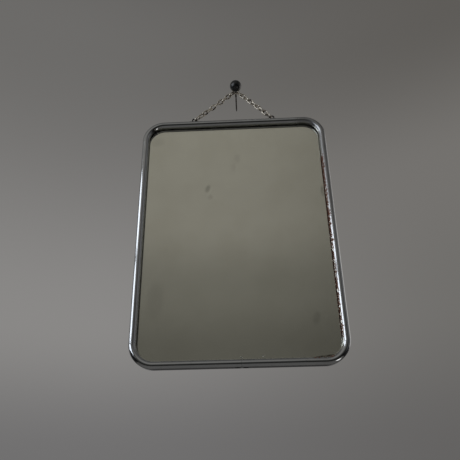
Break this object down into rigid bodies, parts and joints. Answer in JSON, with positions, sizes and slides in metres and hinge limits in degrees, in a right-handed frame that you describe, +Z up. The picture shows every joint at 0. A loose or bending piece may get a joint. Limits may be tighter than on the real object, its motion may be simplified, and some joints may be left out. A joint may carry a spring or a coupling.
{
  "type": "shaving mirror",
  "caption": "Rounded rectangular shaving mirror in a plated half-round frame, hung by a chain from a wall nail, with a fold-out wire stand behind it.",
  "frame": {"origin": "on the nail's axis, where the nail enters the wall; the wall is the plane Y = 0", "axes": "+Y along the nail into the wall, so the mirror faces -Y; +Z up; +X to the right as the mirror is looked into"},
  "size_m": [0.186, 0.0485, 0.2971],
  "materials": {
    "nail_steel": "dull steel wire, tarnished",
    "nail_head_black": "black enamel worn to a low gloss",
    "chain_nickel": "worn nickel plate, brown between the links",
    "frame_plate": "old chrome plate, bright, with rust spots along the inner edge",
    "inner_steel": "plain steel",
    "screw_dark": "blackened steel",
    "glass": "clear sheet glass with ground edges",
    "silver": "aged silvering with a few dark spots",
    "felt": "brown felt",
    "card": "brown packing card",
    "back_paint": "black lacquered tinplate",
    "lug_dark": "blackened steel",
    "clip_steel": "plated steel, dulled",
    "stand_plate": "plated steel wire"
  },
  "bodies": {
    "wall_nail": {"nail_pin": "nail_steel", "nail_head": "nail_head_black"},
    "top_link": {"top_link": "chain_nickel"},
    "chain": {"link_left_1": "chain_nickel", "link_left_2": "chain_nickel", "link_left_3": "chain_nickel", "link_left_4": "chain_nickel", "link_left_5": "chain_nickel", "link_left_6": "chain_nickel", "link_left_7": "chain_nickel", "link_left_8": "chain_nickel", "link_left_9": "chain_nickel", "link_left_10": "chain_nickel", "link_right_1": "chain_nickel", "link_right_2": "chain_nickel", "link_right_3": "chain_nickel", "link_right_4": "chain_nickel", "link_right_5": "chain_nickel", "link_right_6": "chain_nickel", "link_right_7": "chain_nickel", "link_right_8": "chain_nickel", "link_right_9": "chain_nickel"},
    "mirror": {"frame_band": "frame_plate", "seam_plate": "inner_steel", "seam_screw_left": "screw_dark", "seam_screw_right": "screw_dark", "mirror_glass": "glass", "silvering": "silver", "edge_pads": "felt", "packing_card": "card", "back_panel": "back_paint", "lug_left": "lug_dark", "lug_right": "lug_dark", "lug_rivet_left": "lug_dark", "lug_rivet_right": "lug_dark", "stand_clip_left": "clip_steel", "stand_clip_right": "clip_steel"},
    "stand": {"stand_wire": "stand_plate"}
  },
  "joints": [
    {"name": "swing", "type": "hinge", "parent": "wall_nail", "child": "top_link", "pos_m": [0, -0.0071, 0], "axis": [0, 1, 0], "range_deg": [-20, 20]},
    {"name": "chain_lean", "type": "hinge", "parent": "top_link", "child": "chain", "pos_m": [0, -0.0071, -0.0013], "axis": [-1, 0, 0], "range_deg": [0, 35]},
    {"name": "mirror_tilt", "type": "hinge", "parent": "chain", "child": "mirror", "pos_m": [-0.00366, -0.0071, -0.03508], "axis": [-1, 0, 0], "range_deg": [0, 40]},
    {"name": "stand_fold", "type": "hinge", "parent": "mirror", "child": "stand", "pos_m": [-0.00366, -0.00224, -0.07498], "axis": [1, 0, 0], "range_deg": [0, 40]}
  ]
}
